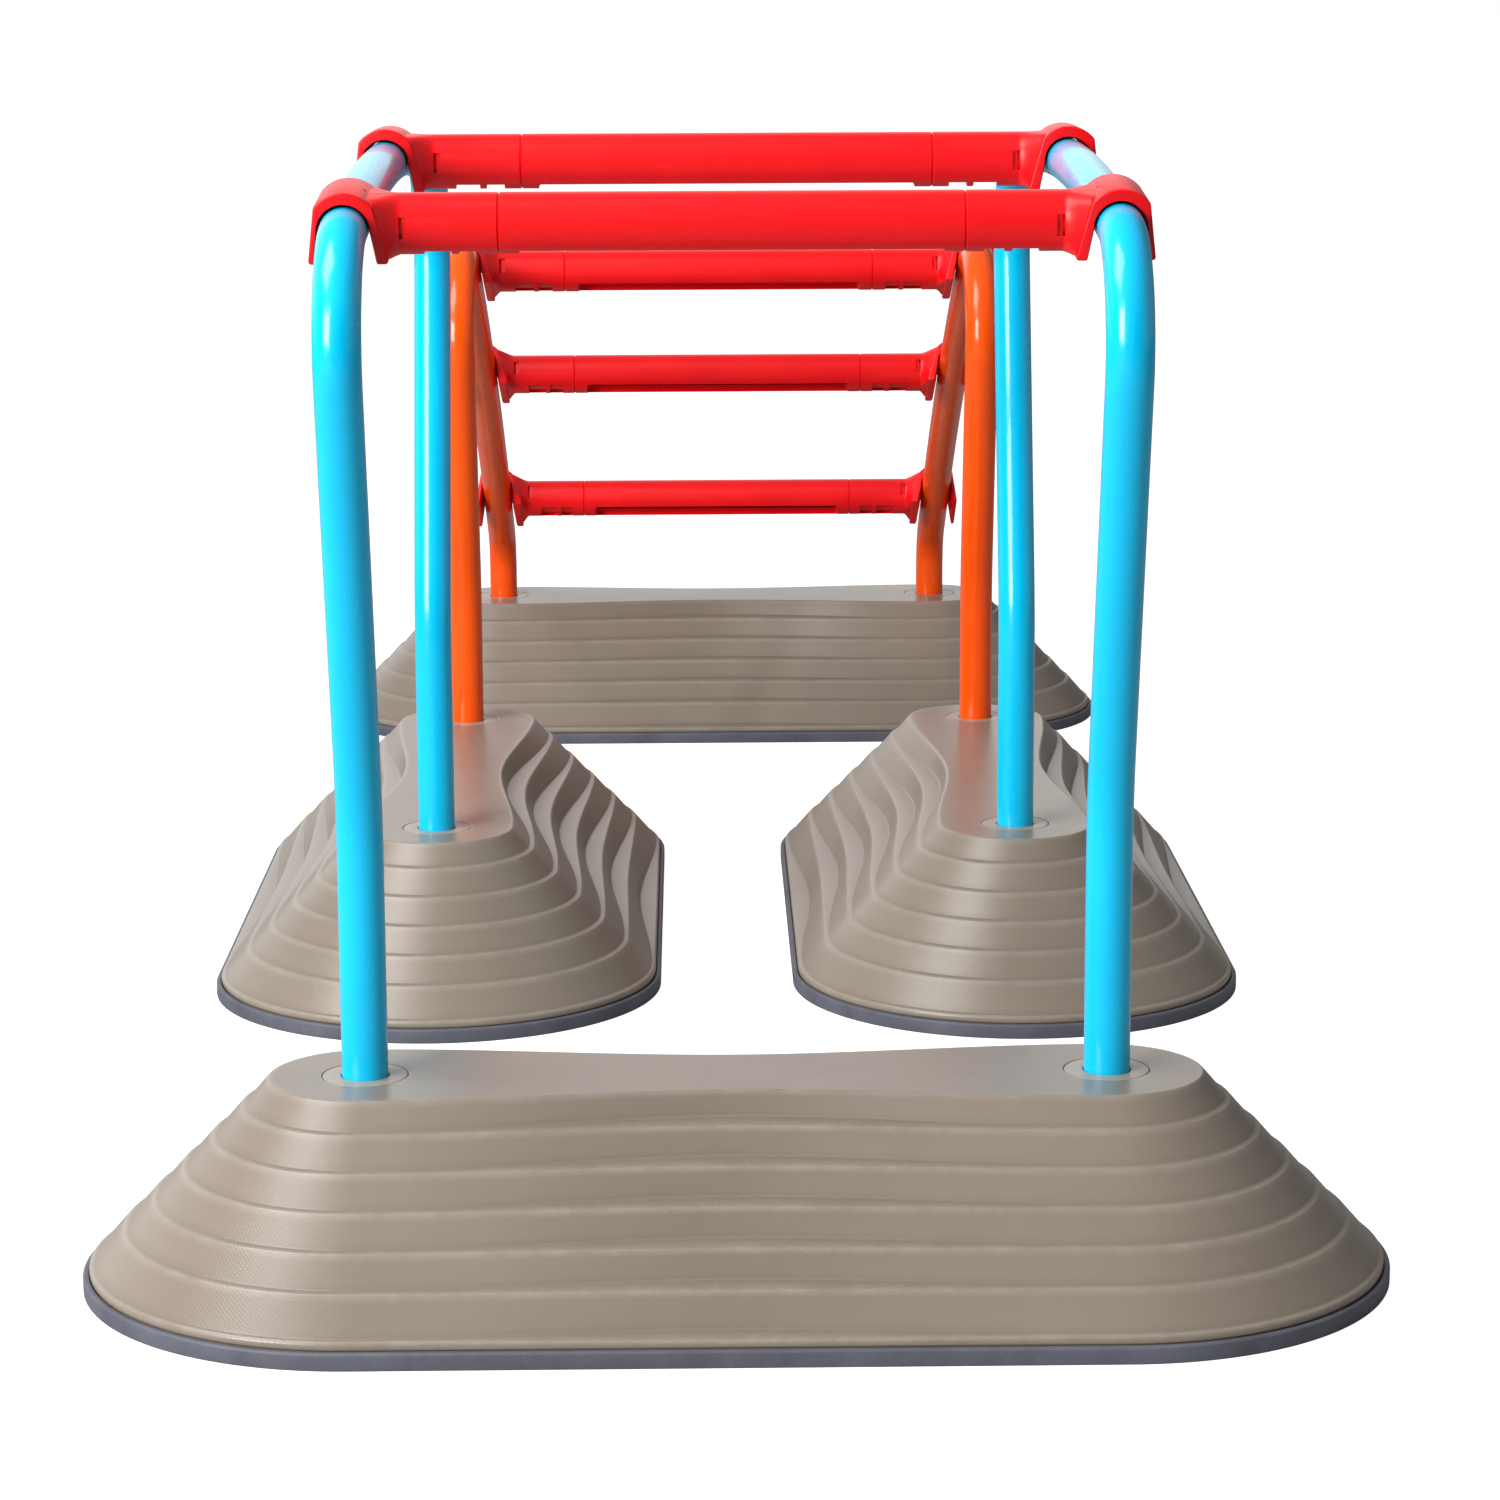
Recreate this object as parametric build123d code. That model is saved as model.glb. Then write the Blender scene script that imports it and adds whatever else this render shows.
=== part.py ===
from build123d import *
import os
from math import asin, cos, degrees, radians, sin, sqrt, tan

# A child's indoor climbing set, in millimetres, +Z up, standing on Z = 0.
# Four terraced plastic bases stand in an H: one across the front, two side by side in the middle
# and one across the rear. Two blue steel tubes arch from the front base to the middle bases, and
# two lower orange tubes slope from the middle bases down to the rear base. Red plastic rungs clip
# over the tubes: two on the blue arches and three down the orange slope. The origin is the middle
# of the set on the floor, +Y runs from the front base to the rear one.

# Layout
socket_spacing = 400.0      # between the two sockets of a base, and so between the tubes
tube_span = 630.0           # from a tube's front foot to its rear foot
middle_foot = socket_spacing / 2
outer_foot = middle_foot + tube_span

# Base: a hollow moulded shell with terraced sides, standing in a rubber rim
base_width = 308.0          # across the rim
base_height = 113.0
rim_height = 9.5
rim_proud = 3.5             # how far the rim stands out from the shell
rim_floor = 3.0             # rubber under the shell's edge
rim_inner_lip = 3.0         # rubber inside the shell's edge
rim_fit = 0.15
shell_wall = 4.0            # level and upright stretches
top_radius = 52.0           # round each socket, at the top face
first_step_drop = 13.4      # from the top face to the first terrace
terrace_pitch = 16.3
terrace_count = 5           # above the lip at the shell's foot
lip_top = 15.0
tread_run = 3.0             # a terrace's width at the ends of the base
tread_drop = 1.2
top_waist = 16.0            # how far each side of the top face is drawn in at the middle
tread_waist = 10.5          # what the waist adds to a terrace's width
rib_thickness = 3.0
rib_foot = 12.0             # ribs and bosses end this far above the floor
cross_rib_offset = 110.0

# Tube and the socket cup that holds each foot
tube_diameter = 25.0
tube_wall = 2.0
cup_fit = 0.4               # round the tube
cup_wall = 3.0
cup_floor = 3.0
cup_flange_diameter = 46.0
cup_flange_thickness = 3.0
socket_depth = 95.0         # from the top face to the cup's floor
boss_wall = 3.5
boss_fit = 0.15
flange_fit = 0.3
foot_rest_gap = 0.2         # between a tube's foot plug and the cup's floor
plug_flange = 2.0
plug_length = 20.0
plug_fit = 0.1
leg_bend_radius = 200.0     # where an upright leg starts to lean

# Blue arch: leaning legs, tight corners and a low dome between them
arch_height = 585.0         # of the tube's centreline at mid span
dome_radius = 2800.0
arch_corner_radius = 60.0
arch_overhang = 70.0        # how far a corner leans out beyond its foot
arch_lean = 16.5            # degrees

# Orange slope: one leaning leg, a corner, a long convex slope and a short upright rear foot
slope_height = 473.0        # highest point of the tube's centreline
slope_radius = 3073.0
slope_corner_radius = 65.0
slope_overhang = 42.0
slope_lean = 13.0           # degrees
slope_foot_straight = 21.31 # between the long arc and the rear bend
slope_foot_radius = 50.0
slope_foot_rise = 21.93     # from the rear base's top face to the lower end of the rear bend

# Rungs, by the distance of each behind its tube's front foot
arch_rungs = (8.0, 305.0)
slope_rungs = (70.0, 301.0, 547.0)
rung_diameter = 32.0
rung_wall = 3.0
seam_from_tube = 79.0       # from the tube's centreline to the end of the clamp's collar
seam_chamfer = 0.8
saddle_radius = 20.0
saddle_length = 50.0        # along the tube
saddle_fit = 0.5
leg_reach = 17.0            # below the tube's centreline
mouth_flare = 3.5           # how much each side of the saddle opens by its foot
inner_foot_width = 5.7
inner_foot_flare = 5.0
inner_foot_chamfer = 4.0
outer_foot_width = 4.0
outer_foot_flare = 1.5
saddle_edge_radius = 1.0
tenon_fit = 0.2
tenon_wall = 2.8
tenon_depth = 55.0          # of the bar inside each collar
bore_end_gap = 1.0
window_from_tube = 30.0     # the two side windows where the bar's catches show
window_width = 5.0
window_height = 12.0
catch_fit = 0.3
catch_recess = 0.8          # of a catch's face behind the collar's surface
channel_width = 18.0        # open underside of the rung
bar_foot = 10.0             # closed length at each end of the bar
channel_chamfer = 3.0
collar_slots = ((40.0, 54.5), (58.0, 69.0))

base_end_radius = base_width / 2
shell_radius = base_end_radius - rim_proud
tube_radius = tube_diameter / 2
rung_radius = rung_diameter / 2
cup_inner = tube_radius + cup_fit
cup_outer = cup_inner + cup_wall
boss_bore = cup_outer + boss_fit
boss_outer = boss_bore + boss_wall
cup_floor_top = base_height - socket_depth
tube_foot = cup_floor_top + foot_rest_gap + plug_flange


def base_outline(radius, waist, height):
    """A base's outline at one height: round ends about the sockets, and sides drawn in by waist."""
    end = socket_spacing / 2
    right = ThreePointArc((end, -radius), (end + radius, 0), (end, radius))
    left = ThreePointArc((-end, radius), (-end - radius, 0), (-end, -radius))
    level = ((-1, 0), (-1, 0))
    far = Spline((end, radius), (0, radius - waist), (-end, radius), tangents=level)
    near = Spline((end, -radius), (0, waist - radius), (-end, -radius), tangents=level)
    wire = Wire([right, far, left, near])
    return Pos(0, 0, height) * Face(wire)


def terrace_levels():
    """Radius, waist and height of each edge down a shell's side, from its top face to its lip."""
    feet = [base_height - first_step_drop - terrace_pitch * step for step in range(terrace_count)]
    feet.append(lip_top)
    wall_drop = base_height - lip_top - (len(feet) - 1) * tread_drop
    wall_run = shell_radius - top_radius - len(feet) * tread_run
    lean = wall_run / wall_drop
    radius = top_radius
    height = base_height
    levels = [(radius, top_waist, height)]
    for step, foot in enumerate(feet, start=1):
        edge_waist = top_waist * (1 - step / len(feet))
        radius += lean * (height - foot)
        levels.append((radius, edge_waist + tread_waist, foot))
        radius += tread_run
        height = foot - tread_drop
        levels.append((radius, edge_waist, height))
    return levels


def socket_pair(piece):
    """The same piece at both sockets of a base that lies along X."""
    end = socket_spacing / 2
    return [Pos(side * end, 0, 0) * piece for side in (-1, 1)]


def upright(radius, low, high):
    return Pos(0, 0, low) * Cylinder(radius, high - low, align=(Align.CENTER, Align.CENTER, Align.MIN))


def make_shell():
    levels = terrace_levels()
    foot = rim_floor + rim_fit
    outer = [base_outline(*level) for level in levels]
    outer.append(base_outline(shell_radius, 0, foot))
    body = loft(outer, ruled=True)
    inner = [base_outline(radius - shell_wall, waist, height - shell_wall)
             for radius, waist, height in levels]
    inner.append(base_outline(shell_radius - shell_wall, 0, foot - 1))
    hollow = loft(inner, ruled=True)
    along = Box(2 * (socket_spacing + base_width), rib_thickness, base_height)
    across = Box(rib_thickness, 2 * base_width, base_height)
    web = along + across + Pos(cross_rib_offset, 0, 0) * across + Pos(-cross_rib_offset, 0, 0) * across
    ribs = (Pos(0, 0, rib_foot + base_height / 2) * web) & hollow
    shell = body - hollow + ribs
    for boss in socket_pair(upright(boss_outer, rib_foot, base_height - shell_wall / 2)):
        shell += boss
    for hole in socket_pair(upright(boss_bore, 0, base_height + 1)):
        shell -= hole
    recess = upright(cup_flange_diameter / 2 + flange_fit, base_height - cup_flange_thickness, base_height + 1)
    for seat in socket_pair(recess):
        shell -= seat
    return shell


def make_rim():
    groove_outer = shell_radius + rim_fit
    groove_inner = shell_radius - shell_wall - rim_fit
    rim = extrude(base_outline(base_end_radius, 0, 0), rim_height)
    rim -= extrude(base_outline(groove_inner - rim_inner_lip, 0, 0), rim_height)
    rim -= extrude(base_outline(groove_outer, 0, rim_floor) - base_outline(groove_inner, 0, rim_floor), rim_height)
    return rim


def make_cup():
    cup = upright(cup_outer, cup_floor_top - cup_floor, base_height)
    cup += upright(cup_flange_diameter / 2, base_height - cup_flange_thickness, base_height)
    return cup - upright(cup_inner, cup_floor_top, base_height + 1)


def lean_leg(lean, overhang, corner_radius, corner_height):
    """An upright foot, a gentle bend and a leaning leg, up to where the corner starts."""
    angle = radians(lean)
    centre_out = corner_radius - overhang
    top_out = centre_out - corner_radius * cos(angle)
    top_height = corner_height - corner_radius * sin(angle)
    knee = top_height + top_out / tan(angle)
    reach = leg_bend_radius * tan(angle / 2)
    foot = Line((0, tube_foot), (0, knee - reach))
    bend = JernArc(start=foot @ 1, tangent=foot % 1, radius=leg_bend_radius, arc_size=lean)
    leg = Line(bend @ 1, (top_out, top_height))
    return [foot, bend, leg]


def arch_centre():
    return tube_span / 2, arch_height - dome_radius


def arch_path():
    """Half an arch from its front foot to mid span, and the same half mirrored."""
    mid, dome_centre = arch_centre()
    corner_out = arch_corner_radius - arch_overhang
    reach = dome_radius - arch_corner_radius
    corner_height = dome_centre + sqrt(reach ** 2 - (mid - corner_out) ** 2)
    half_dome = degrees(asin((mid - corner_out) / reach))
    edges = lean_leg(arch_lean, arch_overhang, arch_corner_radius, corner_height)
    turn = 90 + arch_lean - half_dome
    corner = JernArc(start=edges[-1] @ 1, tangent=edges[-1] % 1, radius=arch_corner_radius, arc_size=-turn)
    dome = JernArc(start=corner @ 1, tangent=corner % 1, radius=dome_radius, arc_size=-half_dome)
    half = edges + [corner, dome]
    other = [edge.mirror(Plane.YZ.offset(mid)) for edge in half]
    return Wire(half + other)


def crossing(low, high, excess):
    """Where a rising measure passes zero."""
    while high - low > 1e-9:
        middle = (low + high) / 2
        if excess(middle) < 0:
            low = middle
        else:
            high = middle
    return low


def slope_centre(start):
    """Centre of the long slope's arc, for a slope that leaves the corner at this angle below level."""
    out = slope_corner_radius - slope_overhang
    height = slope_height - slope_corner_radius
    deeper = slope_radius - slope_corner_radius
    return out - deeper * sin(radians(start)), height - deeper * cos(radians(start))


def slope_end(start):
    """Angle below level at the end of the long arc, from which the rear bend ends over the rear foot."""
    def overrun(end):
        angle = radians(end)
        bend_start = tube_span - slope_foot_radius * (1 - sin(angle))
        return slope_centre(start)[0] + slope_radius * sin(angle) + slope_foot_straight * cos(angle) - bend_start
    return crossing(start, 89.0, overrun)


def slope_start():
    """Angle below level at which the slope leaves the corner, so that it lands above the rear base."""
    def shortfall(start):
        angle = radians(slope_end(start))
        landing = slope_centre(start)[1] + (slope_radius - slope_foot_radius) * cos(angle) - slope_foot_straight * sin(angle)
        return base_height + slope_foot_rise - landing
    return crossing(0.0, 60.0, shortfall)


def slope_path():
    """The slope tube from its front foot over the corner and down to its rear foot."""
    corner_height = slope_height - slope_corner_radius
    edges = lean_leg(slope_lean, slope_overhang, slope_corner_radius, corner_height)
    start = slope_start()
    end = slope_end(start)
    turn = 90 + slope_lean + start
    corner = JernArc(start=edges[-1] @ 1, tangent=edges[-1] % 1, radius=slope_corner_radius, arc_size=-turn)
    slope = JernArc(start=corner @ 1, tangent=corner % 1, radius=slope_radius, arc_size=start - end)
    straight = Line(slope @ 1, slope @ 1 + (slope % 1) * slope_foot_straight)
    bend = JernArc(start=straight @ 1, tangent=straight % 1, radius=slope_foot_radius, arc_size=end - 90)
    foot = Line(bend @ 1, (tube_span, tube_foot))
    return Wire(edges + [corner, slope, straight, bend, foot])


def make_tube(path, side, front_foot):
    """A round tube swept along a path that is drawn in the upright plane along Y."""
    wire = Pos(side * socket_spacing / 2, front_foot, 0) * (Plane.YZ * path)
    start = Plane(origin=wire @ 0, z_dir=wire % 0)
    outer = sweep(start * Circle(tube_radius), path=wire)
    inner = sweep(start * Circle(tube_radius - tube_wall), path=wire)
    return outer - inner


def make_plugs(side, front_foot):
    """The two push-in plugs that close a tube's feet."""
    bore = tube_radius - tube_wall - plug_fit
    low = tube_foot - plug_flange
    plug = upright(tube_radius - cup_fit, low, tube_foot) + upright(bore, low, tube_foot + plug_length)
    x = side * socket_spacing / 2
    return [Pos(x, front_foot + offset, 0) * plug for offset in (0, tube_span)]


def arc_place(centre, radius, along):
    """Height and slope, in degrees, of a tube's centreline on an arc at one distance along."""
    out = along - centre[0]
    return centre[1] + sqrt(radius ** 2 - out ** 2), -degrees(asin(out / radius))


def make_clamp():
    """A rung's end: its saddle over a tube along Y at the origin, and its collar towards +X."""
    inside = tube_radius + saddle_fit
    low = -leg_reach
    inner_out = inside + mouth_flare + inner_foot_width
    left = -inside - mouth_flare
    saddle = make_face(
        Polyline(
            (saddle_radius, 0),
            (saddle_radius + inner_foot_flare, low + inner_foot_chamfer),
            (inner_out, low),
            (inside + mouth_flare, low),
            (inside, 0),
        )
        + ThreePointArc((inside, 0), (0, inside), (-inside, 0))
        + Polyline(
            (-inside, 0),
            (left, low),
            (left - outer_foot_width, low),
            (-saddle_radius, 0),
        )
        + ThreePointArc((-saddle_radius, 0), (0, saddle_radius), (saddle_radius, 0))
    )
    block = extrude(Plane.XZ * saddle, saddle_length / 2, both=True)
    ends = block.faces().sort_by(Axis.Y)
    block = chamfer(ends[0].outer_wire().edges() + ends[-1].outer_wire().edges(), saddle_edge_radius)
    collar = Plane.YZ * Cylinder(rung_radius, seam_from_tube, align=(Align.CENTER, Align.CENTER, Align.MIN))
    end_face = collar.faces().sort_by(Axis.X)[-1]
    collar = chamfer(end_face.edges(), seam_chamfer)
    throat = Cylinder(inside, 2 * saddle_length, rotation=(90, 0, 0))
    mouth = extrude(
        Plane.XZ * make_face(Polyline((inside, 0), (inside + mouth_flare, low), (inside + mouth_flare, 2 * low),
                                      (2 * left, 2 * low), (2 * left, 0), (inside, 0))),
        saddle_length, both=True)
    clamp = block + (collar - throat - mouth)
    bore_start = seam_from_tube - tenon_depth - bore_end_gap
    bore = Pos(bore_start, 0, 0) * (
        Plane.YZ * Cylinder(rung_radius - rung_wall, seam_from_tube, align=(Align.CENTER, Align.CENTER, Align.MIN)))
    clamp -= bore
    clamp -= Pos(window_from_tube, 0, 0) * Box(window_width, 2 * rung_diameter, window_height)
    for start, end in collar_slots:
        clamp -= channel_cut(start, end)
    return clamp


def channel_cut(start, end):
    """A slot along the underside of a rung, with ends that lean outwards."""
    depth = rung_radius - rung_wall / 2
    profile = make_face(Polyline(
        (start, -rung_diameter),
        (end, -rung_diameter),
        (end, -depth),
        (end - channel_chamfer, -depth + 2 * rung_wall),
        (start + channel_chamfer, -depth + 2 * rung_wall),
        (start, -depth),
        (start, -rung_diameter),
    ))
    return extrude(Plane.XZ * profile, channel_width / 2, both=True)


def make_bar():
    """The middle of a rung along X, with a tenon at each end that snaps into a clamp's collar."""
    half = socket_spacing / 2 - seam_from_tube
    bar = Cylinder(rung_radius, 2 * half, rotation=(0, 90, 0))
    bar = chamfer(bar.edges().filter_by(GeomType.CIRCLE), seam_chamfer)
    tenon_radius = rung_radius - rung_wall - tenon_fit
    tenon_end = half + tenon_depth
    bar += Cylinder(tenon_radius, 2 * tenon_end, rotation=(0, 90, 0))
    bar -= Cylinder(tenon_radius - tenon_wall, 4 * tenon_end, rotation=(0, 90, 0))
    bar -= channel_cut(-half + bar_foot, half - bar_foot)
    slot = Box(tenon_depth, channel_width, rung_radius, align=(Align.MIN, Align.CENTER, Align.MAX))
    catch_height = rung_radius - catch_recess
    catch = Box(window_width - 2 * catch_fit, 2 * catch_height, window_height - 2 * catch_fit)
    catch -= Box(window_width, 2 * (tenon_radius - tenon_wall / 2), window_height)
    for side in (-1, 1):
        bar -= Rot(0, 0, 90 - 90 * side) * (Pos(half + seam_chamfer, 0, 0) * slot)
        bar += Pos(side * (socket_spacing / 2 - window_from_tube), 0, 0) * catch
    return bar


parts = {}

base_places = {
    "front_base": Pos(0, -outer_foot, 0),
    "middle_base_left": Pos(-middle_foot, 0, 0) * Rot(0, 0, 90),
    "middle_base_right": Pos(middle_foot, 0, 0) * Rot(0, 0, 90),
    "rear_base": Pos(0, outer_foot, 0),
}
shell = make_shell()
rim = make_rim()
cups = socket_pair(make_cup())
for name, place in base_places.items():
    parts[name + "_shell"] = place * shell
    parts[name + "_rim"] = place * rim
    for number, cup in enumerate(cups, start=1):
        parts[f"{name}_socket_cup_{number}"] = place * cup

tube_paths = {"blue": (arch_path(), -outer_foot), "orange": (slope_path(), middle_foot)}
for colour, (path, front_foot) in tube_paths.items():
    for label, side in (("left", -1), ("right", 1)):
        parts[f"{colour}_tube_{label}"] = make_tube(path, side, front_foot)
        parts[f"{colour}_tube_{label}_foot_plugs"] = Compound(make_plugs(side, front_foot))

rung_places = [(-outer_foot + along, *arc_place(arch_centre(), dome_radius, along)) for along in arch_rungs]
slope_arc = slope_centre(slope_start())
rung_places += [(middle_foot + along, *arc_place(slope_arc, slope_radius, along)) for along in slope_rungs]
clamp = make_clamp()
bar = make_bar()
for number, (y, height, slope) in enumerate(rung_places, start=1):
    tilt = Pos(0, y, height) * Rot(slope, 0, 0)
    end = socket_spacing / 2
    parts[f"rung_{number}_bar"] = tilt * bar
    parts[f"rung_{number}_clamp_left"] = tilt * Pos(-end, 0, 0) * clamp
    parts[f"rung_{number}_clamp_right"] = tilt * Pos(end, 0, 0) * Rot(0, 0, 180) * clamp
    print(f"rung {number}: y {y:.1f}, z {height:.1f}, slope {slope:.2f}")

os.makedirs("parts", exist_ok=True)
for name, piece in parts.items():
    export_step(piece, f"parts/{name}.step")
print(len(parts), "parts written")
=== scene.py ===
from math import atan2, cos, degrees, pi, radians, sin, tan

import bmesh
import bpy
from mathutils import Matrix, Vector


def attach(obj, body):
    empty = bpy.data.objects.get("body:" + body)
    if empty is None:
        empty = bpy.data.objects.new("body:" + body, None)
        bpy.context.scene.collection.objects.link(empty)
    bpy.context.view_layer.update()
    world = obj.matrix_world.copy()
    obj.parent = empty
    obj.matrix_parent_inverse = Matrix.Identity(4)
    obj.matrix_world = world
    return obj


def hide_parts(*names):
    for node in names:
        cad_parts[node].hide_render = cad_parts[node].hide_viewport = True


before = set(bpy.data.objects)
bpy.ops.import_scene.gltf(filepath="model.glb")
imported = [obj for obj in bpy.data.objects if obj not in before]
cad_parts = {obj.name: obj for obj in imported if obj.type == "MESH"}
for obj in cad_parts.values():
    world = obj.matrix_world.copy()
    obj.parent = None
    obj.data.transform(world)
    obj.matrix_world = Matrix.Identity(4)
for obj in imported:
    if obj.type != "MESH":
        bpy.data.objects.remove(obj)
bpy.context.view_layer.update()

MM = 0.001


# Base shells
# Four hollow polypropylene mouldings, each a long terraced mound with two tube sockets in its flat
# top. They are injection moulded in one piece, with a fine anti-slip grain all over, ribs
# underneath, and sides that are drawn in towards the middle so that the terraces spread there.

def linear(colour):
    """An sRGB hex colour as a linear colour."""
    channels = [int(colour[i:i + 2], 16) / 255 for i in (1, 3, 5)]
    return [c / 12.92 if c <= 0.04045 else ((c + 0.055) / 1.055) ** 2.4 for c in channels] + [1.0]


def add(tree, kind, inputs=None, stops=None, **settings):
    """Adds a node. Its kind may leave out a leading ShaderNode. An input is a value or a (node, output) link."""
    made = tree.nodes.new(kind if "Node" in kind else "ShaderNode" + kind)
    for key, value in settings.items():
        setattr(made, key, value)
    for key, value in (inputs or {}).items():
        if isinstance(value, tuple) and isinstance(value[0], bpy.types.Node):
            tree.links.new(value[0].outputs[value[1]], made.inputs[key])
        else:
            made.inputs[key].default_value = value
    if stops:
        for element, (position, colour) in zip(made.color_ramp.elements, stops):
            element.position, element.color = position, colour
    return made


def new_material(name):
    """An empty material, its node tree, and the link that gives places on the piece."""
    material = bpy.data.materials.new(name)
    material.use_nodes = True
    material.node_tree.nodes.clear()
    return material, material.node_tree, (add(material.node_tree, "TexCoord"), "Object")


def surfaced(material, shader):
    """The material, with a shader as its surface."""
    add(material.node_tree, "OutputMaterial", {"Surface": (shader, 0)})
    return material


def moulded_taupe_polypropylene():
    """Satin moulded plastic: rows of tiny grip dots, faint mottling, edges lightened in spots as wear and a
    painted highlight, and painted shade at the terrace feet.
    """
    material, tree, place = new_material("moulded_taupe_polypropylene")
    mottle = add(tree, "TexNoise", {"Vector": place, "Scale": 9.0, "Detail": 4.0, "Roughness": 0.55})
    body = add(tree, "ValToRGB", {"Fac": (mottle, "Fac")},
               stops=[(0.3, linear("#807468")), (0.7, linear("#867B6E"))])
    # The real grip dots stand 1.1 mm apart; they are drawn 2.2 mm apart so that they show.
    rows = add(tree, "Attribute", attribute_name="grain_place")
    turns = add(tree, "VectorMath", {0: (rows, "Vector"), 1: [2 * pi / (2.2 * MM)] * 3}, operation="MULTIPLY")
    waves = add(tree, "VectorMath", {0: (turns, "Vector")}, operation="COSINE")
    wave = add(tree, "SeparateXYZ", {"Vector": (waves, "Vector")})
    dots = add(tree, "Math", {0: (wave, "X"), 1: (wave, "Y")}, operation="MULTIPLY")
    pit = add(tree, "MapRange",
              {"Value": (dots, "Value"), "From Min": -1.0, "From Max": 1.0, "To Min": 0.93, "To Max": 1.02})
    fine = add(tree, "TexNoise", {"Vector": place, "Scale": 1 / (0.9 * MM), "Detail": 2.0})
    speck = add(tree, "MapRange",
                {"Value": (fine, "Fac"), "From Min": 0.3, "From Max": 0.7, "To Min": 0.97, "To Max": 1.02})
    grain_tone = add(tree, "Math", {0: (pit, "Result"), 1: (speck, "Result")}, operation="MULTIPLY")
    grained = add(tree, "VectorMath", {0: (body, "Color"), "Scale": (grain_tone, "Value")}, operation="SCALE")
    scuff_noise = add(tree, "TexNoise", {"Vector": place, "Scale": 55.0, "Detail": 8.0, "Roughness": 0.75})
    scuff_spots = add(tree, "MapRange",
                      {"Value": (scuff_noise, "Fac"), "From Min": 0.4, "From Max": 0.66, "To Min": 0.4})
    # Convex terrace edges are lightened in spots: rubbed wear, and a painted highlight along the edge.
    edge = add(tree, "Attribute", attribute_name="edge_rub")
    wear_and_highlight = add(tree, "Math", {0: (edge, "Fac"), 1: (scuff_spots, "Result")}, operation="MULTIPLY")
    wear_and_highlight_amount = add(tree, "Math", {0: (wear_and_highlight, "Value"), 1: 0.18}, operation="MULTIPLY")
    worn_and_highlighted = add(tree, "Mix", {0: (wear_and_highlight_amount, "Value"), 6: (grained, "Vector"), 7: linear("#D2C9BD")},
                 data_type="RGBA")
    # Painted shade: the colour is darkened most at the terrace feet and the skirt's inner foot, fading over the
    # wall.
    groove = add(tree, "Attribute", attribute_name="groove_dust")
    foot_shade_amount = add(tree, "Math", {0: (groove, "Fac"), 1: 0.22}, operation="MULTIPLY")
    foot_shaded = add(tree, "Mix", {0: (foot_shade_amount, "Value"), 6: (worn_and_highlighted, 2), 7: linear("#6A5F52")}, data_type="RGBA")
    gloss = add(tree, "MapRange", {"Value": (scuff_noise, "Fac"), "To Min": 0.26, "To Max": 0.38})
    grain = add(tree, "Bump", {"Height": (dots, "Value"), "Strength": 0.3, "Distance": 0.08 * MM})
    flow = add(tree, "Bump", {"Height": (mottle, "Fac"), "Normal": (grain, "Normal"), "Strength": 0.1,
                              "Distance": 0.5 * MM})
    shader = add(tree, "BsdfPrincipled", {
        "Base Color": (foot_shaded, 2), "Roughness": (gloss, "Result"), "Normal": (flow, "Normal"), "IOR": 1.49,
        "Specular IOR Level": 0.55})
    return surfaced(material, shader)


def new_tree(name, inputs, output):
    """An empty geometry tree with inputs given as (name, kind, value), and the node that has them."""
    tree = bpy.data.node_groups.new(name, "GeometryNodeTree")
    for label, kind, value in inputs:
        socket = tree.interface.new_socket(label, in_out="INPUT", socket_type="NodeSocket" + kind)
        if value is not None:
            socket.default_value = value
    tree.interface.new_socket(output, in_out="OUTPUT", socket_type="NodeSocketGeometry")
    return tree, add(tree, "NodeGroupInput")


weld = 0.002 * MM    # vertices nearer than this are one


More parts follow.
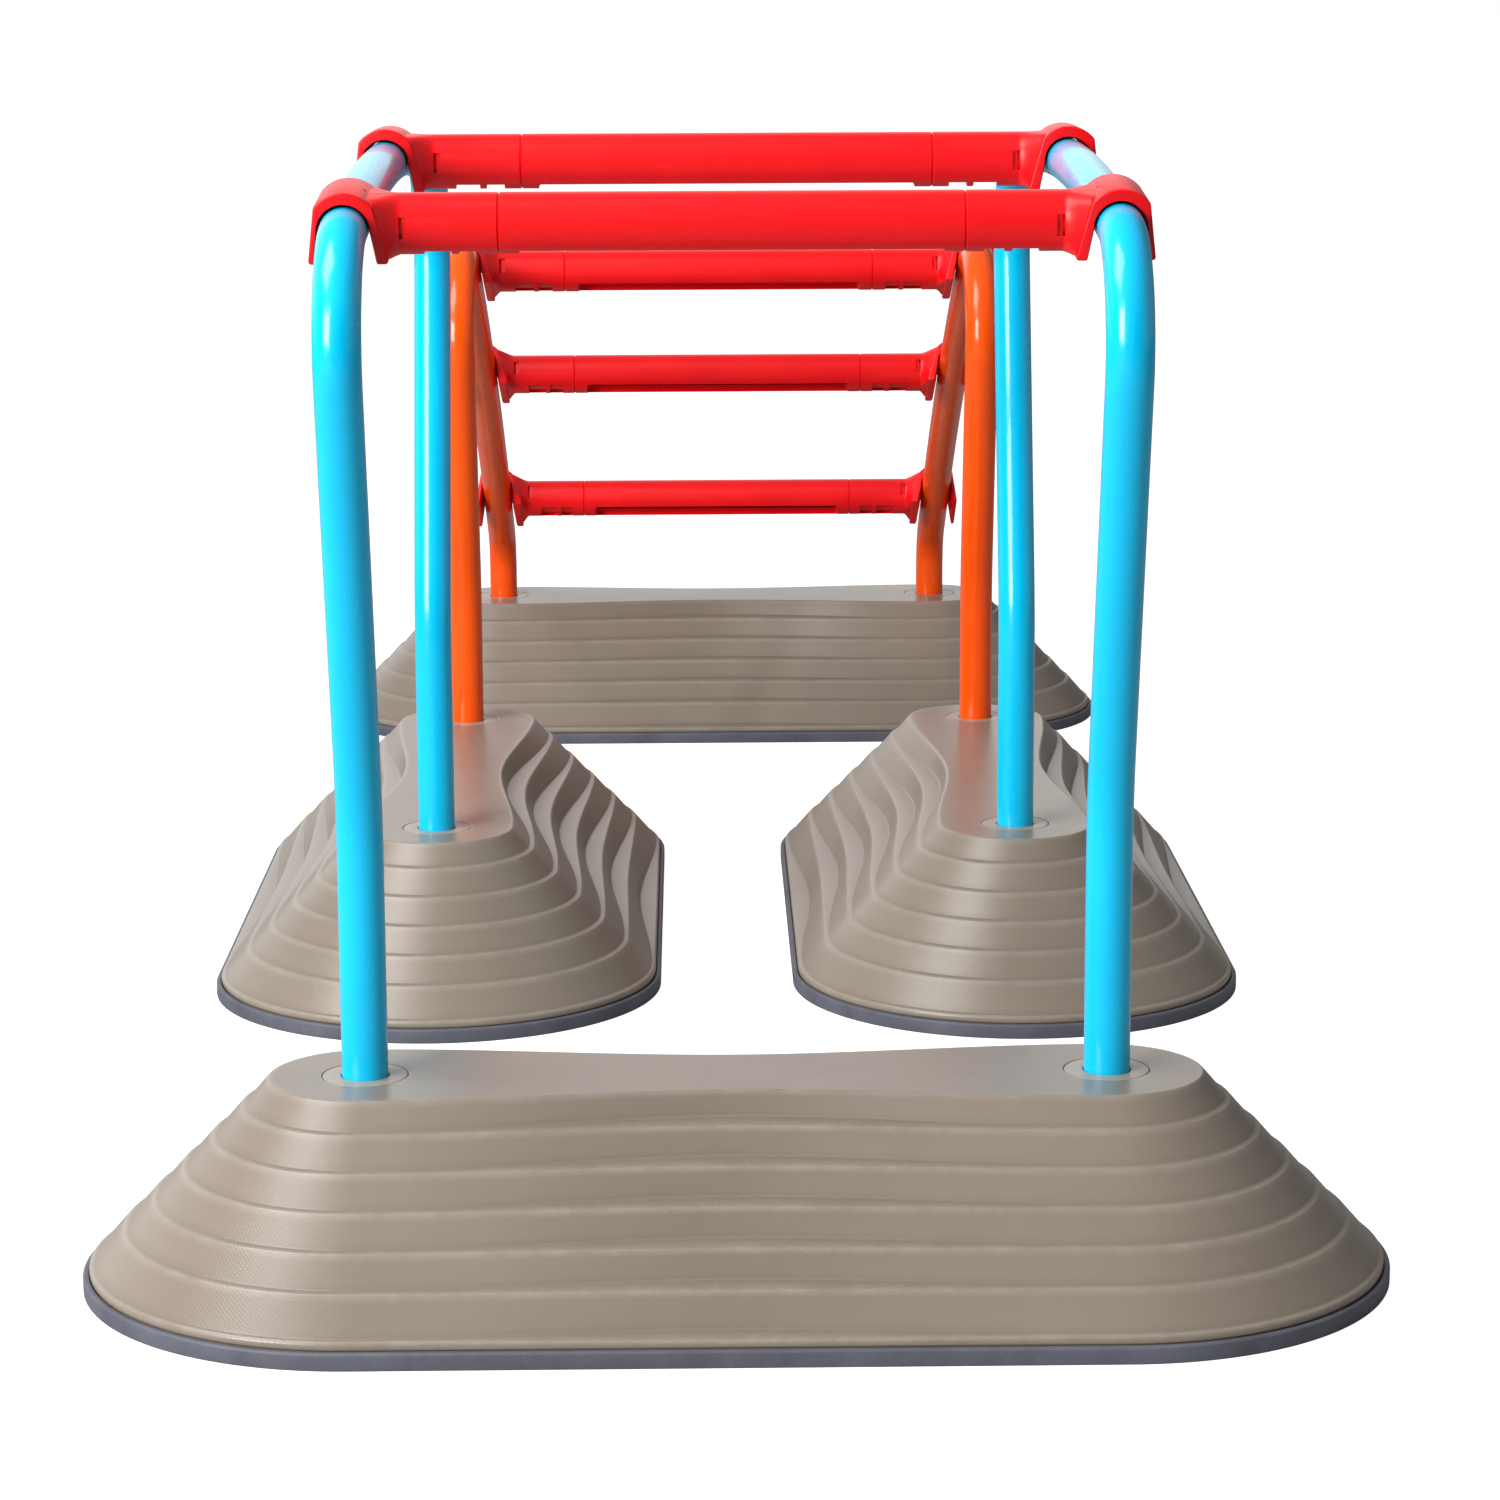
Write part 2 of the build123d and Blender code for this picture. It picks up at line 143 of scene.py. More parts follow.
def swept_round_base():
    """A tree that carries a wall section, given as a row of vertices, once round a long base.

    Each vertex holds its distance from the socket's axis at the round ends (radius), how much
    nearer it comes at the middle of the sides (waist), its height at both (height, lift), and how
    far it lies along the section (across)."""
    tree, given = new_tree("swept_round_base", [
        ("Section", "Geometry", None), ("Socket spacing", "Float", 0.4), ("Steps round an end", "Int", 72),
        ("Steps along a side", "Int", 60), ("Finish", "Material", None)], "Moulding")
    size = add(tree, "GeometryNodeAttributeDomainSize", {"Geometry": (given, "Section")}, component="MESH")
    half_turns = add(tree, "Math", {0: (given, "Steps round an end"), 1: (given, "Steps along a side")},
                     operation="ADD")
    steps = add(tree, "Math", {0: (half_turns, "Value"), 1: 2.0, 2: 1.0}, operation="MULTIPLY_ADD")
    grid = add(tree, "GeometryNodeMeshGrid",
               {"Vertices X": (steps, "Value"), "Vertices Y": (size, "Point Count")})
    index = add(tree, "GeometryNodeInputIndex")
    step_raw = add(tree, "Math", {0: (index, "Index"), 1: (size, "Point Count")}, operation="DIVIDE")
    step = add(tree, "Math", {0: (step_raw, "Value")}, operation="FLOOR")
    row = add(tree, "Math", {0: (index, "Index"), 1: (size, "Point Count")}, operation="MODULO")
    side_end = add(tree, "Math", {0: (half_turns, "Value"), 1: (given, "Steps round an end")}, operation="ADD")
    whole = add(tree, "Math", {0: (half_turns, "Value"), 1: 2.0}, operation="MULTIPLY")
    stretch = {}
    for name, low, high in (("right end", None, (given, "Steps round an end")),
                            ("far side", (given, "Steps round an end"), (half_turns, "Value")),
                            ("left end", (half_turns, "Value"), (side_end, "Value")),
                            ("near side", (side_end, "Value"), (whole, "Value"))):
        stretch[name] = add(tree, "MapRange", {
            "Value": (step, "Value"), "From Min": low or 0.0, "From Max": high})
    turned = add(tree, "Math", {0: (stretch["right end"], "Result"), 1: (stretch["left end"], "Result")},
                 operation="ADD")
    angle = add(tree, "Math", {0: (turned, "Value"), 1: pi, 2: -pi / 2}, operation="MULTIPLY_ADD")
    travelled = add(tree, "Math", {0: (stretch["near side"], "Result"), 1: (stretch["far side"], "Result")},
                    operation="SUBTRACT")
    spine = add(tree, "Math", {0: (travelled, "Value"), 1: (given, "Socket spacing")}, operation="MULTIPLY")
    half = add(tree, "Math", {0: (given, "Socket spacing"), 1: 0.5}, operation="MULTIPLY")
    spine_x = add(tree, "Math", {0: (spine, "Value"), 1: (half, "Value")}, operation="ADD")
    away = add(tree, "Math", {0: (spine_x, "Value")}, operation="ABSOLUTE")
    middle = add(tree, "MapRange",
                 {"Value": (away, "Value"), "From Max": (half, "Value"), "To Min": 1.0, "To Max": 0.0},
                 interpolation_type="SMOOTHSTEP")
    value = {}
    for name in ("radius", "waist", "height", "lift", "across", "edge_rub", "groove_dust"):
        held = add(tree, "GeometryNodeInputNamedAttribute", {"Name": name}, data_type="FLOAT")
        value[name] = add(tree, "GeometryNodeSampleIndex", {
            "Geometry": (given, "Section"), "Value": (held, "Attribute"), "Index": (row, "Value")},
            data_type="FLOAT", domain="POINT")
    drawn_in = add(tree, "Math", {0: (value["waist"], "Value"), 1: (middle, "Result")}, operation="MULTIPLY")
    reach = add(tree, "Math", {0: (value["radius"], "Value"), 1: (drawn_in, "Value")}, operation="SUBTRACT")
    height = add(tree, "Math",
                 {0: (value["lift"], "Value"), 1: (middle, "Result"), 2: (value["height"], "Value")},
                 operation="MULTIPLY_ADD")
    cosine = add(tree, "Math", {0: (angle, "Value")}, operation="COSINE")
    sine = add(tree, "Math", {0: (angle, "Value")}, operation="SINE")
    x = add(tree, "Math", {0: (cosine, "Value"), 1: (reach, "Value"), 2: (spine_x, "Value")},
            operation="MULTIPLY_ADD")
    y = add(tree, "Math", {0: (sine, "Value"), 1: (reach, "Value")}, operation="MULTIPLY")
    position = add(tree, "CombineXYZ", {"X": (x, "Value"), "Y": (y, "Value"), "Z": (height, "Value")})
    wall_mesh = (grid, "Mesh")
    # Each vertex keeps its edge lightening (wear with a painted highlight) and its painted foot shade.
    for name in ("edge_rub", "groove_dust"):
        stored_marks = add(tree, "GeometryNodeStoreNamedAttribute", {
            "Geometry": wall_mesh, "Name": name, "Value": (value[name], "Value")},
            data_type="FLOAT", domain="POINT")
        wall_mesh = (stored_marks, "Geometry")
    # The grip dots' rows follow the wall round; an end's rows are spaced as at 100 mm from its socket.
    round_ends = add(tree, "Math", {0: (turned, "Value"), 1: pi * 100 * MM}, operation="MULTIPLY")
    both_sides = add(tree, "Math", {0: (stretch["near side"], "Result"), 1: (stretch["far side"], "Result")},
                     operation="ADD")
    along = add(tree, "Math", {0: (both_sides, "Value"), 1: (given, "Socket spacing"), 2: (round_ends, "Value")},
                operation="MULTIPLY_ADD")
    rows = add(tree, "CombineXYZ", {"X": (along, "Value"), "Y": (value["across"], "Value")})
    marked = add(tree, "GeometryNodeStoreNamedAttribute", {
        "Geometry": wall_mesh, "Name": "grain_point", "Value": (rows, "Vector")},
        data_type="FLOAT_VECTOR", domain="POINT")
    at_point = add(tree, "GeometryNodeInputNamedAttribute", {"Name": "grain_point"}, data_type="FLOAT_VECTOR")
    grained = add(tree, "GeometryNodeStoreNamedAttribute", {
        "Geometry": (marked, "Geometry"), "Name": "grain_place", "Value": (at_point, "Attribute")},
        data_type="FLOAT_VECTOR", domain="CORNER")
    bare = add(tree, "GeometryNodeRemoveAttribute", {"Geometry": (grained, "Geometry"), "Name": "grain_point"})
    shaped = add(tree, "GeometryNodeSetPosition",
                 {"Geometry": (bare, "Geometry"), "Position": (position, "Vector")})
    closed = add(tree, "GeometryNodeMergeByDistance", {"Geometry": (shaped, "Geometry"), "Distance": weld})
    real = add(tree, "GeometryNodeRealizeInstances", {"Geometry": (closed, "Geometry")})
    finished = add(tree, "GeometryNodeSetMaterial",
                   {"Geometry": (real, "Geometry"), "Material": (given, "Finish")})
    add(tree, "NodeGroupOutput", {"Moulding": (finished, "Geometry")})
    return tree


def run_tree(tree, data, **inputs):
    """The plain mesh that a tree makes of some data."""
    holder = bpy.data.objects.new("holder", data)
    bpy.context.collection.objects.link(holder)
    modifier = holder.modifiers.new("tree", "NODES")
    modifier.node_group = tree
    for socket in tree.interface.items_tree:
        key = socket.name.replace(" ", "_").lower()
        if socket.in_out == "INPUT" and key in inputs:
            modifier[socket.identifier] = inputs[key]
    evaluated = holder.evaluated_get(bpy.context.evaluated_depsgraph_get())
    mesh = bpy.data.meshes.new_from_object(evaluated)
    holder.modifiers.clear()
    bpy.data.objects.remove(holder)
    return mesh


rounding_steps = 5


def rounded(corners, radii, steps=rounding_steps):
    """A run of points with each inner corner rounded. The ends stay as they are."""
    points = [corners[0]]
    for before, corner, after, radius in zip(corners, corners[1:], corners[2:], radii):
        a, b, c = Vector(before), Vector(corner), Vector(after)
        to_a, to_c = (a - b).normalized(), (c - b).normalized()
        half_turn = (pi - to_a.angle(to_c)) / 2
        if radius == 0 or half_turn < 1e-3:
            points += [tuple(b)] * (1 if radius == 0 else steps + 1)
            continue
        reach = min(radius * tan(half_turn), 0.49 * (a - b).length, 0.49 * (c - b).length)
        true_radius = reach / tan(half_turn)
        centre = b + (to_a + to_c).normalized() * (true_radius / cos(half_turn))
        start, end = b + to_a * reach - centre, b + to_c * reach - centre
        turn = atan2(start.x * end.y - start.y * end.x, start.dot(end))
        for i in range(steps + 1):
            t = turn * i / steps
            points.append((centre.x + start.x * cos(t) - start.y * sin(t),
                           centre.y + start.x * sin(t) + start.y * cos(t)))
    points.append(corners[-1])
    return points


def section_mesh(name, corners, closed=False):
    """A wall section for swept_round_base, from corners (radius, waist, height, rounding, edge lightening, foot
    shade). The edge lightening is wear with a painted highlight; the foot shade is painted shade.
    """
    if closed:
        corners = [corners[-1]] + corners + corners[:1]
    radii = [corner[3] for corner in corners[1:-1]]
    at_end = rounded([(r, z) for r, w, z, *_ in corners], radii)
    at_middle = rounded([(r - w, z) for r, w, z, *_ in corners], radii)
    marks = [(0.0, 0.0)]
    # A corner's last mark is painted shade, darkest at a foot.
    for r, w, z, radius, wear_and_highlight, dust in corners[1:-1]:
        marks += [(wear_and_highlight, dust)] * (1 if radius == 0 else rounding_steps + 1)
    marks.append((0.0, 0.0))
    rows = list(zip(at_end, at_middle, marks))
    if closed:
        rows = rows[1:-1]
        rows.append(rows[0])
    mesh = bpy.data.meshes.new(name)
    mesh.from_pydata([(0, 0, i * MM) for i in range(len(rows))], [(i, i + 1) for i in range(len(rows) - 1)], [])
    across = [0.0]
    for (before, *_), (after, *_) in zip(rows, rows[1:]):
        across.append(across[-1] + (Vector(after) - Vector(before)).length * MM)
    columns = {"across": across,
               "radius": [end[0] * MM for end, *_ in rows],
               "waist": [(end[0] - middle[0]) * MM for end, middle, _ in rows],
               "height": [end[1] * MM for end, *_ in rows],
               "lift": [(middle[1] - end[1]) * MM for end, middle, _ in rows],
               "edge_rub": [mark[0] for *_, mark in rows],
               "groove_dust": [mark[1] for *_, mark in rows]}
    for key, values in columns.items():
        mesh.attributes.new(key, "FLOAT", "POINT").data.foreach_set("value", values)
    return mesh


def join_rings(shape, rings, capped=True):
    """Walls from each ring of vertices to the next, with the first and last ring closed if capped."""
    for first, second in zip(rings, rings[1:]):
        for i in range(len(first)):
            j = (i + 1) % len(first)
            shape.faces.new((first[i], first[j], second[j], second[i]))
    if capped:
        shape.faces.new(rings[0])
        shape.faces.new(rings[-1])


def lathe(shape, rows, centre_x=0.0, sides=96, capped=False):
    """Turns rows of (radius, height) in mm round an upright axis."""
    turns = [2 * pi * i / sides for i in range(sides)]
    rings = [[shape.verts.new(((centre_x + radius * cos(turn)) * MM, radius * sin(turn) * MM, height * MM))
              for turn in turns] for radius, height in rows]
    join_rings(shape, rings, capped)


def plate(shape, outline, thickness, put):
    """A closed flat plate: an outline in mm, thickened both ways, each point placed by put(u, v, w)."""
    near = [shape.verts.new(put(u, v, -thickness / 2)) for u, v in outline]
    far = [shape.verts.new(put(u, v, thickness / 2)) for u, v in outline]
    shape.faces.new(near)
    shape.faces.new(far[::-1])
    for i in range(len(outline)):
        j = (i + 1) % len(outline)
        shape.faces.new((near[j], near[i], far[i], far[j]))


def open_mesh(mesh):
    """A mesh opened for work on its vertices and faces."""
    shape = bmesh.new()
    shape.from_mesh(mesh)
    return shape


def open_edges(shape):
    """The edges that have a face on one side only."""
    return [edge for edge in shape.edges if len(edge.link_faces) == 1]


def finish_mesh(shape, name, sharp=35, recalculate=True):
    """A smooth-shaded mesh of the work, with edges left sharp where they turn by more than an angle."""
    if recalculate:
        bmesh.ops.recalc_face_normals(shape, faces=shape.faces)
    mesh = bpy.data.meshes.new(name)
    shape.to_mesh(mesh)
    shape.free()
    mesh.polygons.foreach_set("use_smooth", [True] * len(mesh.polygons))
    mesh.set_sharp_from_angle(angle=radians(sharp))
    return mesh


def set_down(name, mesh, place, body, nodes, material):
    """Puts a copy of a mesh where it belongs, and says what it stands for."""
    own = mesh.copy()
    own.transform(place)
    own.name = name
    own.materials.clear()
    own.materials.append(material)
    piece = bpy.data.objects.new(name, own)
    bpy.context.collection.objects.link(piece)
    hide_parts(*nodes)
    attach(piece, body)


socket_spacing, base_height, wall = 400.0, 113.0, 4.0
shell_edge, shell_foot = 150.5, 3.15
skirt_foot, skirt_step = 10.2, 0.9
top_edge, top_border, top_waist = 52.0, 3.5, 16.0
tread_waist, tread_run, tread_drop = 10.5, 3.0, 1.2
terrace_feet = [99.6, 83.3, 67.0, 50.7, 34.4, 15.0]
treads = len(terrace_feet)
wall_run = shell_edge - top_edge - treads * tread_run
wall_fall = base_height - terrace_feet[-1] - (treads - 1) * tread_drop
lean = wall_run / wall_fall
top_rounding, foot_rounding, edge_rounding, skirt_rounding = 2.2, 2.2, 2.4, 1.0
wear_and_shade_margin = 3.4    # wear with a painted highlight, and painted shade, reach this far from an edge or a foot

# A corner's last two numbers lighten it as wear with a painted highlight, and darken it with painted shade.
wall_corners = [(top_edge - top_border, top_waist, base_height, 0, 0, 0),
                (top_edge, top_waist, base_height, top_rounding, 0.7, 0)]
inner_corners = [(top_edge - wall, top_waist, base_height - wall, 0, 0, 0)]
edge_radius, edge_waist, edge_height = top_edge, top_waist, base_height
for step, foot in enumerate(terrace_feet, start=1):
    fall = edge_height - foot
    next_waist = top_waist * (1 - step / treads)
    foot_waist = next_waist + tread_waist
    for down in (wear_and_shade_margin, fall - wear_and_shade_margin):
        wall_corners.append((edge_radius + lean * down, edge_waist + (foot_waist - edge_waist) * down / fall,
                             edge_height - down, 0, 0, 0))
    edge_radius += lean * fall
    wall_corners.append((edge_radius, foot_waist, foot, foot_rounding, 0, 1))
    inner_corners.append((edge_radius - wall, foot_waist, foot - wall, 0, 0, 0))
    edge_radius, edge_waist, edge_height = edge_radius + tread_run, next_waist, foot - tread_drop
    wall_corners.append((edge_radius, edge_waist, edge_height, edge_rounding, 1, 0.2))
    inner_corners.append((edge_radius - wall, edge_waist, edge_height - wall, 0, 0, 0))
wall_corners += [(shell_edge, 0, skirt_foot, skirt_rounding, 0, 0),
                 (shell_edge - skirt_step, 0, skirt_foot - skirt_rounding, 0, 0, 1),
                 (shell_edge - skirt_step, 0, shell_foot, 0, 0, 0), (shell_edge - wall, 0, shell_foot, 0, 0, 0)]

taupe = moulded_taupe_polypropylene()
base_tree = swept_round_base()
skin_section = section_mesh("shell_section", wall_corners + inner_corners[::-1])
skin = run_tree(base_tree, skin_section, socket_spacing=socket_spacing * MM, steps_round_an_end=72,
                steps_along_a_side=60, finish=taupe)

# The sockets' recesses and bosses come down from holes in the level top and its ceiling.
socket_ends = (-socket_spacing / 2, socket_spacing / 2)
socket_border, flange_recess, socket_bore, boss_outer = 26.0, 23.3, 19.55, 23.05
recess_floor, recess_rounding, rib_foot = 110.0, 0.5, 12.0
shape = open_mesh(skin)
for centre_x in socket_ends:
    mouth = rounded([(socket_border, base_height), (flange_recess, base_height), (flange_recess, recess_floor)],
                    [recess_rounding])
    lathe(shape, mouth + [(socket_bore, recess_floor), (socket_bore, rib_foot), (boss_outer, rib_foot),
                          (boss_outer, base_height - wall)], centre_x)
for height in (base_height, base_height - wall):
    level = [edge for edge in open_edges(shape)
             if all(abs(v.co.z - height * MM) < weld / 2 for v in edge.verts)]
    bmesh.ops.triangle_fill(shape, edges=level, use_beauty=True, normal=(0, 0, 1))
bmesh.ops.recalc_face_normals(shape, faces=shape.faces)
# On the level top the grip dots' rows run straight along and across the base.
grain_layer = shape.loops.layers.float_vector["grain_place"]
for face in shape.faces:
    if all(v.co.z > (base_height - 0.1) * MM for v in face.verts):
        for loop in face.loops:
            loop[grain_layer] = (loop.vert.co.x, loop.vert.co.y, 0.0)

# Ribs stiffen the underside. Each is sunk a little into the wall, so that the two overlap.
rib, rib_offset, embed = 3.0, 110.0, 0.4
rib_top = base_height - wall + embed


def inner_line(weight):
    """The inside of the wall as (distance out, height), from the ribs' foot up to the ceiling."""
    line = [(r - w * weight + embed, z + embed) for r, w, z, *_ in inner_corners[::-1]]
    (r0, z0), (r1, z1) = line[0], line[1]
    line[0] = (r0 + (r1 - r0) * (rib_foot - z0) / (z1 - z0) if z1 != z0 else r0, rib_foot)
    return line


for x in (-rib_offset, 0.0, rib_offset):
    across = 2 * abs(x) / socket_spacing
    line = inner_line(1 - across * across * (3 - 2 * across))
    outline = line + [(-out, z) for out, z in line[::-1]]
    plate(shape, outline, rib, lambda u, v, w, x=x: ((x + w) * MM, u * MM, v * MM))
end_line = inner_line(0)
at_boss = socket_spacing / 2 + boss_outer - embed
outline = [(at_boss, rib_foot)] + [(socket_spacing / 2 + out, z) for out, z in end_line] + [(at_boss, rib_top)]
for side in (-1, 1):
    plate(shape, outline[::side], rib, lambda u, v, w, side=side: (side * u * MM, w * MM, v * MM))
between = socket_spacing / 2 - boss_outer + embed
plate(shape, [(-between, rib_foot), (between, rib_foot), (between, rib_top), (-between, rib_top)], rib,
      lambda u, v, w: (u * MM, w * MM, v * MM))
shell_mesh = finish_mesh(shape, "base_shell", sharp=40)

outer_foot, middle_foot = 830.0, 200.0
quarter_turn = Matrix.Rotation(pi / 2, 4, "Z")
base_places = {
    "front_base": Matrix.Translation((0, -outer_foot * MM, 0)),
    "middle_base_left": Matrix.Translation((-middle_foot * MM, 0, 0)) @ quarter_turn,
    "middle_base_right": Matrix.Translation((middle_foot * MM, 0, 0)) @ quarter_turn,
    "rear_base": Matrix.Translation((0, outer_foot * MM, 0)),
}
for name, place in base_places.items():
    set_down(name + "_moulding", shell_mesh, place, "bases", [name + "_shell"], taupe)


# Rubber rims
# A band of dark grey rubber, moulded as one ring with a groove in its top. The shell's foot stands
# in the groove, and the rubber keeps the base from sliding and stands out a little all round.

def vulcanised_rubber():
    """Dull dark rubber: a fine matt skin, a grey bloom and some floor dust."""
    material, tree, place = new_material("vulcanised_rubber")
    bloom = add(tree, "TexNoise", {"Vector": place, "Scale": 30.0, "Detail": 6.0, "Roughness": 0.65})
    body = add(tree, "ValToRGB", {"Fac": (bloom, "Fac")},
               stops=[(0.3, linear("#4B4C57")), (0.72, linear("#5E606B"))])
    skin_grain = add(tree, "TexNoise", {"Vector": place, "Scale": 1 / (0.9 * MM), "Detail": 2.0})
    dust = add(tree, "MapRange",
               {"Value": (skin_grain, "Fac"), "From Min": 0.62, "From Max": 0.8, "To Max": 0.35})
    dusty = add(tree, "Mix", {0: (dust, "Result"), 6: (body, "Color"), 7: linear("#8E8C8A")}, data_type="RGBA")
    gloss = add(tree, "MapRange", {"Value": (bloom, "Fac"), "To Min": 0.5, "To Max": 0.66})
    relief = add(tree, "Bump", {"Height": (skin_grain, "Fac"), "Strength": 0.3, "Distance": 0.08 * MM})
    shader = add(tree, "BsdfPrincipled", {
        "Base Color": (dusty, 2), "Roughness": (gloss, "Result"), "Normal": (relief, "Normal"), "IOR": 1.52})
    return surfaced(material, shader)


rubber = vulcanised_rubber()
rim_height, groove_floor = 9.5, 3.0
rim_inner, groove_inner, groove_outer, rim_edge = 143.35, 146.35, 150.65, 154.0
rim_corners = [(rim_inner, 0, 0, 0.6, 0, 0), (rim_edge, 0, 0, 0.8, 0, 0), (rim_edge, 0, rim_height, 1.6, 0, 0),
               (groove_outer, 0, rim_height, 0.6, 0, 0), (groove_outer, 0, groove_floor, 0.4, 0, 0),
               (groove_inner, 0, groove_floor, 0.4, 0, 0), (groove_inner, 0, rim_height, 0.6, 0, 0),
               (rim_inner, 0, rim_height, 0.6, 0, 0)]
rim_section = section_mesh("rim_section", rim_corners, closed=True)
rim_sweep = run_tree(base_tree, rim_section, socket_spacing=socket_spacing * MM, steps_round_an_end=72,
                     steps_along_a_side=4, finish=rubber)
rim_mesh = finish_mesh(open_mesh(rim_sweep), "base_rim", sharp=50)
for name, place in base_places.items():
    set_down(name + "_rubber_rim", rim_mesh, place, "bases", [name + "_rim"], rubber)


# Socket cups
# A plastic cup with a flange that lies flush in each base's top, pushed down into the boss under
# it. It takes the tube's foot, and shows as a ring with a thin dark seam round it.

def moulded_socket_polypropylene():
    """Smoother than the shell: a satin skin, a little cloudy, with a very fine grain."""
    material, tree, place = new_material("moulded_socket_polypropylene")
    cloud = add(tree, "TexNoise", {"Vector": place, "Scale": 60.0, "Detail": 6.0, "Roughness": 0.7})
    body = add(tree, "ValToRGB", {"Fac": (cloud, "Fac")},
               stops=[(0.3, linear("#91867A")), (0.7, linear("#A0968A"))])
    fine = add(tree, "TexNoise", {"Vector": place, "Scale": 1 / (0.8 * MM), "Detail": 3.0})
    gloss = add(tree, "MapRange", {"Value": (cloud, "Fac"), "To Min": 0.28, "To Max": 0.42})
    relief = add(tree, "Bump", {"Height": (fine, "Fac"), "Strength": 0.2, "Distance": 0.05 * MM})
    shader = add(tree, "BsdfPrincipled", {
        "Base Color": (body, "Color"), "Roughness": (gloss, "Result"), "Normal": (relief, "Normal"), "IOR": 1.49})
    return surfaced(material, shader)


socket_plastic = moulded_socket_polypropylene()
cup_bore, cup_outer, flange = 12.9, 15.9, 23.0
cup_floor, cup_foot, floor_middle = 18.0, 15.0, 3.0
cup_corners = [(floor_middle, cup_floor), (cup_bore, cup_floor), (cup_bore, base_height), (flange, base_height),
               (flange, recess_floor), (cup_outer, recess_floor), (cup_outer, cup_foot), (floor_middle, cup_foot)]
shape = bmesh.new()
lathe(shape, rounded(cup_corners, [0.8, 0.9, 0.6, 0.3, 0.4, 0.8]), capped=True)
cup_mesh = finish_mesh(shape, "socket_cup", sharp=50)
for name, place in base_places.items():
    for number, centre_x in enumerate(socket_ends, start=1):
        at_socket = place @ Matrix.Translation((centre_x * MM, 0, 0))
        set_down(f"{name}_cup_{number}", cup_mesh, at_socket, "bases",
                 [f"{name}_socket_cup_{number}"], socket_plastic)


# Tubes
# Round 25 mm steel tube with a 2 mm wall, bent cold on a former and powder coated. Two blue tubes
# arch between the front and middle bases, and two orange ones slope down to the rear base. A black
# plug closes each foot, and the foot drops into a socket cup.

def powder_coat(name, light, dark):
    """Glossy baked powder: an even colour with a slight orange-peel skin and a few handling marks."""
    material, tree, place = new_material(name)
    cloud = add(tree, "TexNoise", {"Vector": place, "Scale": 9.0, "Detail": 4.0})
    body = add(tree, "ValToRGB", {"Fac": (cloud, "Fac")}, stops=[(0.3, linear(dark)), (0.7, linear(light))])
    # Orange peel: low swells about 2.5 mm apart.
    peel = add(tree, "TexNoise", {"Vector": place, "Scale": 1 / (2.5 * MM), "Detail": 1.0})
    stretched = add(tree, "Mapping", {"Vector": place, "Scale": (1.0, 0.35, 0.12)})
    marks = add(tree, "TexNoise",
                {"Vector": (stretched, "Vector"), "Scale": 420.0, "Detail": 7.0, "Roughness": 0.8})
    gloss = add(tree, "MapRange", {"Value": (marks, "Fac"), "From Min": 0.45, "From Max": 0.75,
                                   "To Min": 0.2, "To Max": 0.34})
    relief = add(tree, "Bump", {"Height": (peel, "Fac"), "Strength": 0.18, "Distance": 0.06 * MM})
    shader = add(tree, "BsdfPrincipled", {
        "Base Color": (body, "Color"), "Roughness": (gloss, "Result"), "Normal": (relief, "Normal"), "IOR": 1.5,
        "Specular IOR Level": 0.3, "Coat Weight": 0.3, "Coat Roughness": 0.05})
    return surfaced(material, shader)


def bent_tube():
    """A tree that draws a round tube's outside along its centre line."""
    tree, given = new_tree("bent_tube", [("Centre line", "Geometry", None), ("Tube radius", "Float", 0.0125),
                                         ("Sides", "Int", 56), ("Finish", "Material", None)], "Tube")
    ring = add(tree, "GeometryNodeCurvePrimitiveCircle",
               {"Resolution": (given, "Sides"), "Radius": (given, "Tube radius")})
    tube = add(tree, "GeometryNodeCurveToMesh",
               {"Curve": (given, "Centre line"), "Profile Curve": (ring, "Curve")})
    real = add(tree, "GeometryNodeRealizeInstances", {"Geometry": (tube, "Mesh")})
    finished = add(tree, "GeometryNodeSetMaterial",
                   {"Geometry": (real, "Geometry"), "Material": (given, "Finish")})
    add(tree, "NodeGroupOutput", {"Tube": (finished, "Geometry")})
    return tree


def bent_line(name, start_height, runs):
    """A tube's centre line in the upright plane, from its front foot up.

    A run is a straight length in mm, or a bend (radius, degrees), where minus bends it back and down."""
    points = [(0.0, start_height)]
    heading = pi / 2
    for run in runs:
        along, height = points[-1]
        if not isinstance(run, tuple):
            points.append((along + run * cos(heading), height + run * sin(heading)))
            continue
        # A bend has a point every 2.5 degrees or 20 mm, whichever is finer.
        radius, turn = run[0], radians(run[1])
        steps = max(4, int(abs(degrees(turn)) / 2.5), int(radius * abs(turn) / 20))
        side = 1 if turn > 0 else -1
        centre = (along - side * radius * sin(heading), height + side * radius * cos(heading))
        for i in range(1, steps + 1):
            now = heading + turn * i / steps
            points.append((centre[0] + side * radius * sin(now), centre[1] - side * radius * cos(now)))
        heading += turn
    curve = bpy.data.curves.new(name, "CURVE")
    curve.dimensions = "3D"
    spline = curve.splines.new("POLY")
    spline.points.add(len(points) - 1)
    for point, (along, height) in zip(spline.points, points):
        point.co = (0, along * MM, height * MM, 1)
    return curve


